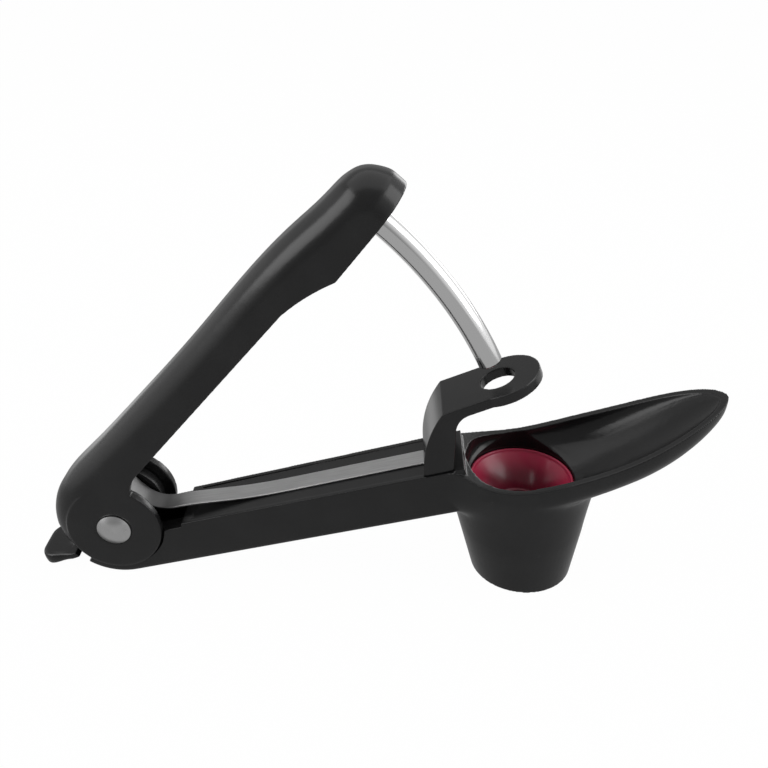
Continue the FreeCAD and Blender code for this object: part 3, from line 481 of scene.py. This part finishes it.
# ---------------------------------------------------------------- properties
class PitterSizes(bpy.types.PropertyGroup):
    """Sizes and colours that a user would change."""

    black_colour: bpy.props.FloatVectorProperty(
        name="Black", description="Colour of the black mouldings", subtype="COLOR",
        default=(0.0085, 0.0085, 0.0087), min=0.0, max=1.0)
    black_roughness: bpy.props.FloatProperty(
        name="Black roughness", description="Roughness of the black mouldings",
        default=0.24, min=0.0, max=1.0)
    cup_colour: bpy.props.FloatVectorProperty(
        name="Cup", description="Colour of the olive cup", subtype="COLOR",
        default=(0.45, 0.03, 0.078), min=0.0, max=1.0)
    edge_grain: bpy.props.FloatProperty(
        name="Edge grain", description="Size of the detail kept when moulded edges are rounded",
        default=0.00028, min=0.0001, unit="LENGTH")
    rod_sides: bpy.props.IntProperty(
        name="Rod sides", description="Facets around the plunger rod", default=48, min=8)
    turn_steps: bpy.props.IntProperty(
        name="Turned steps", description="Facets around turned pieces", default=128, min=16)


# ---------------------------------------------------------------- pieces
MEDIUM_GRAIN = 0.82          # shares of the edge grain
FINE_GRAIN = 0.7

CUP_LIP = 0.45 * MM          # rounding of the cup's rim
CUP_HOLE = 5.6 * MM
CUP_HOLE_EDGE = 0.4 * MM
CUP_DEPTH = 8.6 * MM
CUP_WALL = 1.6 * MM
CUP_FLANGE = 1.8 * MM        # height of the rim's flange
CUP_PULLS = ((2.6 * MM, 2.6 * MM), (5.6 * MM, 5.4 * MM))    # in from the mouth and down, shaping the bowl
CUP_FOOT = (3.4 * MM, 3.0 * MM)      # sloped outer foot, in and up
CUP_STEPS = 28

ROD_ARC = 110.1 * MM
ROD_RADIUS = 3.1 * MM
ROD_SPAN = (25.5, 53.9)      # degrees from the pivot, tip and root
ROD_EDGE = 0.45 * MM
ROD_EDGE_ANGLE = 50          # degrees


class PITTER_OT_mouldings(bpy.types.Operator):
    """Black mouldings: lower arm with tray and chute, handle, stripper arm and lock"""

    bl_idname = "pitter.mouldings"
    bl_label = "Black mouldings"

    def execute(self, context):
        sizes = context.scene.pitter
        medium, fine = sizes.edge_grain * MEDIUM_GRAIN, sizes.edge_grain * FINE_GRAIN
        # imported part, piece, body, grain, rounds of smoothing and most triangles
        plans = (("lower_arm", "arm_moulding", "frame", medium, 2, 195000),
                 ("upper_handle", "handle_moulding", "handle", sizes.edge_grain, 12, 150000),
                 ("stripper_arm", "stripper_moulding", "frame", fine, 8, 120000),
                 ("lock_lever", "lock_moulding", "lock", fine, 30, 50000))
        for node, name, body, grain, rounds, most in plans:
            piece = softened(node, name, grain, rounds, most)
            if node == "lower_arm":
                blend_chute(piece)
            if node == "lock_lever":
                round_tab(piece)
            give(piece, black_moulding("black_" + node, sizes))
            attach(piece, body)
            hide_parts(node)
        return {"FINISHED"}


class PITTER_OT_cup(bpy.types.Operator):
    """Crimson cup that holds the olive"""

    bl_idname = "pitter.cup"
    bl_label = "Olive cup"

    def execute(self, context):
        sizes = context.scene.pitter
        low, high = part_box("cup_insert")
        centre = Vector(((low.x + high.x) / 2, (low.y + high.y) / 2, high.z))
        rim = (high.x - low.x) / 2
        skirt = rim - CUP_WALL
        mouth = rim - 2 * CUP_LIP
        edge = CUP_HOLE + CUP_HOLE_EDGE
        base = -CUP_DEPTH - CUP_WALL
        pulls = [(mouth - inward, -down) for inward, down in CUP_PULLS]
        profile = arc_points((rim - CUP_LIP, -CUP_LIP), CUP_LIP, 0.0, 180.0, 10)
        profile += bowl_curve((mouth, -CUP_LIP * 1.2), *pulls, (edge, -CUP_DEPTH), CUP_STEPS)
        profile += arc_points((edge, -CUP_DEPTH - CUP_HOLE_EDGE), CUP_HOLE_EDGE, 90.0, 180.0, 4)
        profile += [(CUP_HOLE, base), (skirt - CUP_FOOT[0], base), (skirt, -CUP_DEPTH + CUP_FOOT[1]),
                    (skirt, -CUP_FLANGE), (rim, -CUP_FLANGE)]
        piece = lathe("cup_moulding", profile, centre, Vector((0, 0, 1)), sizes.turn_steps)
        give(piece, crimson_moulding("crimson_cup", sizes))
        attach(piece, "frame")
        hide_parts("cup_insert")
        return {"FINISHED"}


def bowl_curve(start, pull_start, pull_end, end, count):
    """Cubic curve between two profile points."""
    points = []
    for step in range(1, count + 1):
        t = step / count
        weights = ((1 - t) ** 3, 3 * t * (1 - t) ** 2, 3 * t * t * (1 - t), t ** 3)
        points.append(tuple(sum(w * p[axis] for w, p in zip(weights, (start, pull_start, pull_end, end)))
                            for axis in (0, 1)))
    return points


def rod_tree():
    """Geometry Nodes tree that sweeps a round section along an arc about the pivot."""
    tree = bpy.data.node_groups.new("rod_along_arc", "GeometryNodeTree")
    sizes = (("Arc Radius", ROD_ARC), ("Rod Radius", ROD_RADIUS), ("Start", 0.4), ("Sweep", 0.5))
    tree.interface.new_socket("Geometry", in_out="OUTPUT", socket_type="NodeSocketGeometry")
    for name, value in sizes:
        socket = tree.interface.new_socket(name, in_out="INPUT", socket_type="NodeSocketFloat")
        socket.default_value = value
    socket = tree.interface.new_socket("Sides", in_out="INPUT", socket_type="NodeSocketInt")
    socket.default_value = 32
    socket = tree.interface.new_socket("Material", in_out="INPUT", socket_type="NodeSocketMaterial")
    entry = tree.nodes.new("NodeGroupInput")
    leave = tree.nodes.new("NodeGroupOutput")
    arc = tree.nodes.new("GeometryNodeCurveArc")
    arc.mode = "RADIUS"
    arc.inputs["Resolution"].default_value = 120
    circle = tree.nodes.new("GeometryNodeCurvePrimitiveCircle")
    upright = tree.nodes.new("GeometryNodeTransform")
    upright.inputs["Rotation"].default_value = Euler((math.pi / 2, 0.0, 0.0))
    upright.inputs["Translation"].default_value = PIVOT
    sweep = tree.nodes.new("GeometryNodeCurveToMesh")
    sweep.inputs["Fill Caps"].default_value = True
    real = tree.nodes.new("GeometryNodeRealizeInstances")
    paint = tree.nodes.new("GeometryNodeSetMaterial")
    links = ((entry.outputs["Arc Radius"], arc.inputs["Radius"]),
             (entry.outputs["Start"], arc.inputs["Start Angle"]),
             (entry.outputs["Sweep"], arc.inputs["Sweep Angle"]),
             (entry.outputs["Rod Radius"], circle.inputs["Radius"]),
             (entry.outputs["Sides"], circle.inputs["Resolution"]),
             (arc.outputs["Curve"], upright.inputs["Geometry"]),
             (upright.outputs["Geometry"], sweep.inputs["Curve"]),
             (circle.outputs["Curve"], sweep.inputs["Profile Curve"]),
             (sweep.outputs["Mesh"], real.inputs["Geometry"]),
             (real.outputs["Geometry"], paint.inputs["Geometry"]),
             (entry.outputs["Material"], paint.inputs["Material"]),
             (paint.outputs["Geometry"], leave.inputs["Geometry"]))
    for start, end in links:
        tree.links.new(start, end)
    return tree


def set_inputs(modifier, values):
    """Set a Geometry Nodes modifier's inputs by their sockets' identifiers."""
    for item in modifier.node_group.interface.items_tree:
        if item.item_type == "SOCKET" and item.in_out == "INPUT" and item.name in values:
            modifier[item.identifier] = values[item.name]


class PITTER_OT_rod(bpy.types.Operator):
    """Chromed plunger rod, bent to a circle about the pivot"""

    bl_idname = "pitter.rod"
    bl_label = "Plunger rod"

    def execute(self, context):
        sizes = context.scene.pitter
        start, end = (math.radians(angle) for angle in ROD_SPAN)
        piece = new_piece("polished_rod", bpy.data.meshes.new("polished_rod"))
        modifier = piece.modifiers.new("sweep", "NODES")
        modifier.node_group = rod_tree()
        set_inputs(modifier, {"Arc Radius": ROD_ARC, "Rod Radius": ROD_RADIUS, "Start": start,
                              "Sweep": end - start, "Sides": sizes.rod_sides,
                              "Material": polished_rod("chrome_rod")})
        baked(piece)
        edge = piece.modifiers.new("edge", "BEVEL")
        edge.width = ROD_EDGE
        edge.segments = 3
        edge.angle_limit = math.radians(ROD_EDGE_ANGLE)
        baked(piece)
        smooth_faces(piece.data)
        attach(piece, "handle")
        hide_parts("plunger_rod")
        return {"FINISHED"}


ARM_TILT = 14.8              # degrees


def along_arm(along, above):
    """Point at a distance in millimetres along the arm from the pivot, and above its axis."""
    tilt = math.radians(ARM_TILT)
    x = along * math.cos(tilt) - above * math.sin(tilt)
    z = along * math.sin(tilt) + above * math.cos(tilt)
    return PIVOT + Vector((x * MM, 0.0, z * MM))


LEAF_FLOOR = -3.7            # in millimetres, as are the route, width, thickness and edge
LEAF_ROUTE = [(91.8, LEAF_FLOOR), (70.0, LEAF_FLOOR), (46.0, LEAF_FLOOR), (36.0, -3.35), (27.0, -2.5),
              (19.5, -1.75), (14.5, -1.5), (11.0, -0.6), (8.2, 1.6), (6.2, 4.9), (4.6, 8.4), (2.9, 11.6)]
LEAF_WIDTH = 6.2
LEAF_THICKNESS = 0.6
LEAF_EDGE = 0.15
LEAF_STEPS = 10              # pieces between two points of the route
LEAF_SHARP_ANGLE = 35        # degrees


def smooth_route(points, per_span):
    """Points along a smooth line through given points."""
    route = []
    last = len(points) - 1
    for index in range(last):
        before, start = points[max(index - 1, 0)], points[index]
        end, after = points[index + 1], points[min(index + 2, last)]
        for step in range(per_span):
            t = step / per_span
            square = 2 * before - 5 * start + 4 * end - after
            cube = 3 * start - before - 3 * end + after
            route.append(0.5 * (2 * start + (end - before) * t + square * t * t + cube * t ** 3))
    route.append(points[-1])
    return route


class PITTER_OT_leaf(bpy.types.Operator):
    """Leaf spring along the arm and up into the handle"""

    bl_idname = "pitter.leaf"
    bl_label = "Leaf spring"

    def execute(self, context):
        route = smooth_route([along_arm(*point) for point in LEAF_ROUTE], LEAF_STEPS)
        half, edge, thick = LEAF_WIDTH * MM / 2, LEAF_EDGE * MM, LEAF_THICKNESS * MM
        section = [(-half, edge), (-half, thick - edge), (-half + edge, thick), (half - edge, thick),
                   (half, thick - edge), (half, edge), (half - edge, 0.0), (-half + edge, 0.0)]
        work = bmesh.new()
        rings = []
        for index, point in enumerate(route):
            ahead = (route[min(index + 1, len(route) - 1)] - route[max(index - 1, 0)]).normalized()
            up = Vector((ahead.z, 0.0, -ahead.x))
            rings.append([work.verts.new(point + Vector((0.0, y, 0.0)) + up * z) for y, z in section])
        for low, high in zip(rings, rings[1:]):
            for step in range(len(section)):
                after = (step + 1) % len(section)
                work.faces.new([low[step], low[after], high[after], high[step]])
        work.faces.new(rings[0])
        work.faces.new(list(reversed(rings[-1])))
        bmesh.ops.recalc_face_normals(work, faces=work.faces)
        mesh = bpy.data.meshes.new("leaf_strip")
        work.to_mesh(mesh)
        work.free()
        piece = new_piece("leaf_strip", mesh)
        give(piece, brushed_leaf("brushed_leaf"))
        mesh.shade_smooth()
        mesh.set_sharp_from_angle(angle=math.radians(LEAF_SHARP_ANGLE))
        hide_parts("leaf_spring")
        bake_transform(piece)
        return {"FINISHED"}


class PITTER_OT_fittings(bpy.types.Operator):
    """Rivet, washer, sleeve, pin and screw"""

    bl_idname = "pitter.fittings"
    bl_label = "Metal fittings"

    def execute(self, context):
        give(NODES["pivot_rivet"], turned_steel("rivet_steel", PIVOT, 0.62, 0.24, RIVET_DOME))
        give(NODES["rivet_washer"], turned_steel("washer_steel", PIVOT, 0.6, 0.28))
        give(NODES["pivot_sleeve"], turned_steel("sleeve_steel", PIVOT, 0.5, 0.3))
        give(NODES["lock_pin"], turned_steel("pin_steel", LOCK_PIVOT, 0.55, 0.25))
        give(NODES["stripper_screw"], plated_steel("screw_steel"))
        for node in ("pivot_rivet", "rivet_washer", "pivot_sleeve", "lock_pin", "stripper_screw"):
            smooth_faces(NODES[node].data)
        return {"FINISHED"}


# ---------------------------------------------------------------- stage
CAMERA_PLACE = Vector((75.232, -188.604, 161.945)) * MM     # from the pivot's foot on the table
CAMERA_TURN = (60.907, -0.3525, 0.9957)                      # degrees about X, Y and Z
CAMERA_LENS = 39.545                                         # millimetres, on a 36 mm sensor

FLOOR_DIM = 0.42            # how bright the floor is in reflections, away from its two painted glow patches
FLOOR_GREY = 0.86           # colour of the floor under its white glow
FLOOR_WHITE_SHARE = 0.985   # how much of the floor is glow; the rest takes the tool's shadow
GLOW_PATCHES_NEAR = (0.07, 0.09)   # across the tool, where the painted glow patches begin
GLOW_PATCHES_FAR = (0.15, 0.18)    # and end
GLOW_PATCH_LEFT = (-0.03, -0.01)  # along the tool, where the left painted glow patch ends
GLOW_PATCH_RIGHT = (0.05, 0.07)   # and the right one begins
STUDIO_SHARE = 0.15         # how much of the plain white metal and gloss see in the surroundings
STUDIO_LEVEL = 0.29         # brightness of the surroundings all round
STUDIO_FRONT = 0.14         # and less in front
STUDIO_LEFT = 0.5           # and more on the left
STUDIO_RIGHT = 0.6          # and on the right
STUDIO_PANEL = 3.4          # a low bright panel behind, to the right


def pale_floor(name):
    """White floor that keeps a faint contact shadow; its front half is dimmer in reflections, and two patches
    of painted glow are brighter there.
    """
    shader = Shader(name)
    path = shader.add("ShaderNodeLightPath")
    x, y, _ = shader.split(shader.place())
    beside = 1.0 - x.step(*GLOW_PATCH_LEFT) + x.step(*GLOW_PATCH_RIGHT)
    # painted glow: two patches of the floor shine brighter, seen only in reflections
    glow_patches = y.step(*GLOW_PATCHES_NEAR) * (1.0 - y.step(*GLOW_PATCHES_FAR)) * beside
    reflected = path["Is Glossy Ray"] * (FLOOR_DIM + glow_patches * (1.0 - FLOOR_DIM))
    direct = (path["Is Camera Ray"] + path["Is Transmission Ray"]).limited()
    seen = (direct + path["Is Glossy Ray"]).limited()
    diffuse = shader.add("ShaderNodeBsdfDiffuse", {}, {"Color": grey(FLOOR_GREY)})["BSDF"]
    glow = {"Color": grey(1.0), "Strength": direct + reflected}
    white = shader.add("ShaderNodeEmission", {}, glow)["Emission"]
    return shader.finish(shader.mixed(seen * FLOOR_WHITE_SHARE, diffuse, white))


def studio_surroundings(name):
    """White to the camera; a soft studio with brighter sides for everything else."""
    shader = Shader(name, bpy.data.worlds)
    path = shader.add("ShaderNodeLightPath")
    direct = path["Is Camera Ray"] + path["Is Transmission Ray"]
    seen = (direct + path["Is Glossy Ray"] * STUDIO_SHARE).limited()
    x, y, z = shader.split(shader.add("ShaderNodeTexCoord")["Generated"])
    left = (x * -1.0).step(0.55, 0.95)
    right = x.step(0.3, 0.8)
    panel = y.step(0.55, 0.8) * x.step(0.15, 0.35) * (1.0 - z.step(0.18, 0.3))
    front = (y * -1.0).step(0.2, 0.7)
    sides = left * STUDIO_LEFT + right * STUDIO_RIGHT
    strength = STUDIO_LEVEL - front * STUDIO_FRONT + sides + panel * STUDIO_PANEL
    soft = shader.add("ShaderNodeBackground", {}, {"Color": grey(1.0), "Strength": strength})["Background"]
    white = shader.add("ShaderNodeBackground", {}, {"Color": grey(1.0), "Strength": 1.0})["Background"]
    return shader.finish(shader.mixed(seen, soft, white), "ShaderNodeOutputWorld")


def soft_lamp(name, place, target, size, power):
    data = bpy.data.lights.new(name, "AREA")
    data.shape = "RECTANGLE"
    data.size, data.size_y = size
    data.energy = power
    lamp = bpy.data.objects.new(name, data)
    lamp.location = place
    lamp.rotation_euler = (Vector(target) - Vector(place)).to_track_quat("-Z", "Y").to_euler()
    bpy.context.scene.collection.objects.link(lamp)
    return lamp


class PITTER_OT_stage(bpy.types.Operator):
    """Camera, lamps, white surroundings and floor"""

    bl_idname = "pitter.stage"
    bl_label = "Stage"

    def execute(self, context):
        scene = context.scene
        data = bpy.data.cameras.new("camera")
        data.lens = CAMERA_LENS
        data.sensor_width = 36.0
        data.clip_start = 0.01
        camera = bpy.data.objects.new("camera", data)
        camera.location = CAMERA_PLACE + Vector((PIVOT.x, 0.0, 0.0))
        camera.rotation_euler = Euler([math.radians(turn) for turn in CAMERA_TURN])
        scene.collection.objects.link(camera)
        scene.camera = camera

        scene.world = studio_surroundings("surroundings")
        soft_lamp("left", (-0.7, -0.25, 0.6), (0.0, 0.0, 0.03), (0.6, 0.6), 2.8)
        soft_lamp("right", (0.75, -0.1, 0.45), (0.0, 0.0, 0.03), (0.6, 0.6), 2.3)
        soft_lamp("top", (0.0, 0.2, 0.9), (0.0, 0.0, 0.03), (1.4, 1.0), 2.6)

        work = bmesh.new()
        bmesh.ops.create_grid(work, x_segments=1, y_segments=1, size=3.0)
        mesh = bpy.data.meshes.new("floor")
        work.to_mesh(mesh)
        work.free()
        floor = new_piece("floor", mesh)
        give(floor, pale_floor("pale_floor"))

        scene.view_settings.view_transform = "Standard"
        return {"FINISHED"}


class PITTER_PT_panel(bpy.types.Panel):
    """Sizes and build steps in the sidebar"""

    bl_label = "Olive pitter"
    bl_idname = "PITTER_PT_panel"
    bl_space_type = "VIEW_3D"
    bl_region_type = "UI"
    bl_category = "Pitter"

    def draw(self, context):
        sizes = context.scene.pitter
        for name in PitterSizes.__annotations__:
            self.layout.prop(sizes, name)
        for operator in OPERATORS:
            self.layout.operator(operator.bl_idname)


OPERATORS = (PITTER_OT_stage, PITTER_OT_mouldings, PITTER_OT_cup, PITTER_OT_rod, PITTER_OT_leaf,
             PITTER_OT_fittings)
CLASSES = (PitterSizes, PITTER_PT_panel) + OPERATORS


def register():
    for each in CLASSES:
        bpy.utils.register_class(each)
    bpy.types.Scene.pitter = bpy.props.PointerProperty(type=PitterSizes)


def unregister():
    del bpy.types.Scene.pitter
    for each in reversed(CLASSES):
        bpy.utils.unregister_class(each)


def main():
    register()
    bpy.ops.pitter.stage()
    bpy.ops.pitter.mouldings()
    bpy.ops.pitter.cup()
    bpy.ops.pitter.rod()
    bpy.ops.pitter.leaf()
    bpy.ops.pitter.fittings()


if __name__ == "__main__":
    main()
